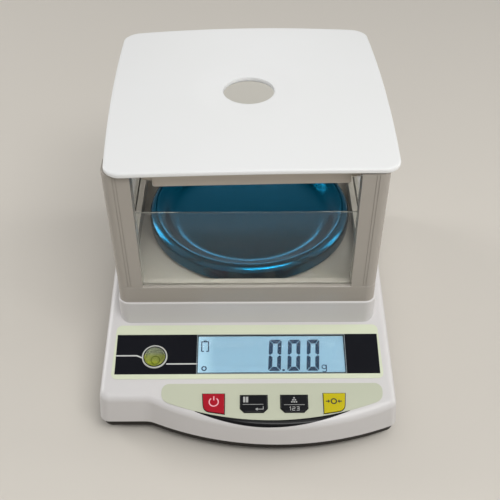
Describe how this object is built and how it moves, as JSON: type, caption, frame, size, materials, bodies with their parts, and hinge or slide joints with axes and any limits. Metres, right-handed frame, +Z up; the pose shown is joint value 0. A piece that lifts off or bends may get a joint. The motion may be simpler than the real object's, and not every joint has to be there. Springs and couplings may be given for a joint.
{
  "type": "analytical balance",
  "caption": "Bench balance with a sloping display panel, pressable keys, a round steel pan and a square clear-sided draught shield with a lift-off lid.",
  "frame": {"origin": "on the bench under the middle of the balance", "axes": "+X to the user's right, the display and keys face -Y, +Z up"},
  "size_m": [0.1762, 0.2372, 0.1643],
  "materials": {
    "housing_white": "glossy moulded ABS",
    "base_dark": "matt moulded ABS",
    "shield_grey": "fine-grained moulded ABS",
    "lid_white": "satin moulded ABS",
    "pane_clear": "polished clear sheet",
    "pan_blue": "pressed stainless steel under a blue protective film",
    "film_cream": "fine-textured polyester film",
    "film_black": "gloss printed polyester film",
    "window_clear": "polished clear acrylic",
    "backlight_blue": "diffuser sheet",
    "level_fluid": "tinted spirit",
    "key_red": "domed resin",
    "key_black": "domed resin",
    "key_yellow": "domed resin",
    "silicone": "moulded silicone",
    "board_green": "solder-masked glass laminate",
    "steel": "zinc-plated steel",
    "cell_aluminium": "machined aluminium",
    "brass": "turned brass",
    "foot_rubber": "moulded rubber",
    "stud_steel": "turned steel"
  },
  "bodies": {
    "housing": {"base_plate": "steel", "base_plate_screws": "steel", "battery": "base_dark", "battery_strap": "steel", "converter_can": "steel", "dc_inlet": "base_dark", "display_band": "film_black", "display_board": "board_green", "display_board_screws": "steel", "display_overlay": "film_cream", "display_window": "window_clear", "foot_nuts": "brass", "front_inlay": "film_black", "front_left_post": "shield_grey", "front_pane": "pane_clear", "front_right_post": "shield_grey", "housing_screws": "steel", "key_domes": "silicone", "keypad_overlay": "film_cream", "lcd_backlight": "backlight_blue", "lcd_frame": "base_dark", "lcd_glass": "window_clear", "left_pane": "pane_clear", "level_cup": "housing_white", "level_fluid": "level_fluid", "level_lens": "window_clear", "load_cell": "cell_aluminium", "load_cell_foot": "cell_aluminium", "load_cell_screws": "steel", "lower_base": "base_dark", "main_board": "board_green", "main_board_screws": "steel", "overload_stops": "brass", "rear_left_post": "shield_grey", "rear_pane": "pane_clear", "rear_right_post": "shield_grey", "right_pane": "pane_clear", "upper_housing": "housing_white", "windshield_base": "shield_grey", "windshield_screws": "steel"},
    "count_key_body": {"count_key": "key_black"},
    "front_left_pad": {"front_left_foot_pad": "foot_rubber"},
    "front_left_stud": {"front_left_foot_stud": "stud_steel"},
    "front_right_pad": {"front_right_foot_pad": "foot_rubber"},
    "front_right_stud": {"front_right_foot_stud": "stud_steel"},
    "load_stage": {"load_cell_head": "cell_aluminium", "load_cell_head_screws": "steel", "pan_carrier": "cell_aluminium", "pan_cushions": "silicone"},
    "power_key_body": {"power_key": "key_red"},
    "rear_left_pad": {"rear_left_foot_pad": "foot_rubber"},
    "rear_left_stud": {"rear_left_foot_stud": "stud_steel"},
    "rear_right_pad": {"rear_right_foot_pad": "foot_rubber"},
    "rear_right_stud": {"rear_right_foot_stud": "stud_steel"},
    "tare_key_body": {"tare_key": "key_yellow"},
    "unit_key_body": {"unit_key": "key_black"},
    "pan": {"weighing_pan": "pan_blue"},
    "lid": {"windshield_lid": "lid_white"}
  },
  "joints": [
    {"name": "lid_lift", "type": "slide", "parent": "housing", "child": "lid", "axis": [0, 0, 1], "range_m": [0, 0.06]},
    {"name": "load_deflection", "type": "slide", "parent": "housing", "child": "load_stage", "axis": [0, 0, -1], "range_m": [0, 0.0005], "stiffness_N_per_m": 12000, "springref_m": -0.00018, "deforming": ["load_cell"]},
    {"name": "pan_lift", "type": "slide", "parent": "load_stage", "child": "pan", "axis": [0, 0, 1], "range_m": [0, 0.045]},
    {"name": "power_key_press", "type": "slide", "parent": "housing", "child": "power_key_body", "axis": [0, 0.2588, -0.9659], "range_m": [0, 0.0006], "stiffness_N_per_m": 1500, "deforming": ["key_domes"]},
    {"name": "unit_key_press", "type": "slide", "parent": "housing", "child": "unit_key_body", "axis": [0, 0.2588, -0.9659], "range_m": [0, 0.0006], "stiffness_N_per_m": 1500, "deforming": ["key_domes"]},
    {"name": "count_key_press", "type": "slide", "parent": "housing", "child": "count_key_body", "axis": [0, 0.2588, -0.9659], "range_m": [0, 0.0006], "stiffness_N_per_m": 1500, "deforming": ["key_domes"]},
    {"name": "tare_key_press", "type": "slide", "parent": "housing", "child": "tare_key_body", "axis": [0, 0.2588, -0.9659], "range_m": [0, 0.0006], "stiffness_N_per_m": 1500, "deforming": ["key_domes"]},
    {"name": "front_left_foot_level", "type": "slide", "parent": "housing", "child": "front_left_pad", "axis": [0, 0, -1], "range_m": [-0.0015, 0.0015]},
    {"name": "front_right_foot_level", "type": "slide", "parent": "housing", "child": "front_right_pad", "axis": [0, 0, -1], "range_m": [-0.0015, 0.0015]},
    {"name": "rear_left_foot_level", "type": "slide", "parent": "housing", "child": "rear_left_pad", "axis": [0, 0, -1], "range_m": [-0.0015, 0.0015]},
    {"name": "rear_right_foot_level", "type": "slide", "parent": "housing", "child": "rear_right_pad", "axis": [0, 0, -1], "range_m": [-0.0015, 0.0015]},
    {"name": "front_left_foot_turn", "type": "hinge", "parent": "front_left_pad", "child": "front_left_stud", "pos_m": [-0.0651, -0.0771, 0], "axis": [0, 0, 1], "range_deg": [-540, 540]},
    {"name": "front_right_foot_turn", "type": "hinge", "parent": "front_right_pad", "child": "front_right_stud", "pos_m": [0.0651, -0.0771, 0], "axis": [0, 0, 1], "range_deg": [-540, 540]},
    {"name": "rear_left_foot_turn", "type": "hinge", "parent": "rear_left_pad", "child": "rear_left_stud", "pos_m": [-0.0651, 0.0931, 0], "axis": [0, 0, 1], "range_deg": [-540, 540]},
    {"name": "rear_right_foot_turn", "type": "hinge", "parent": "rear_right_pad", "child": "rear_right_stud", "pos_m": [0.0651, 0.0931, 0], "axis": [0, 0, 1], "range_deg": [-540, 540]}
  ],
  "couplings": [
    {"joint": "front_left_foot_turn", "follows": "front_left_foot_level", "rad_per_m": 6283.2},
    {"joint": "front_right_foot_turn", "follows": "front_right_foot_level", "rad_per_m": 6283.2},
    {"joint": "rear_left_foot_turn", "follows": "rear_left_foot_level", "rad_per_m": 6283.2},
    {"joint": "rear_right_foot_turn", "follows": "rear_right_foot_level", "rad_per_m": 6283.2}
  ]
}
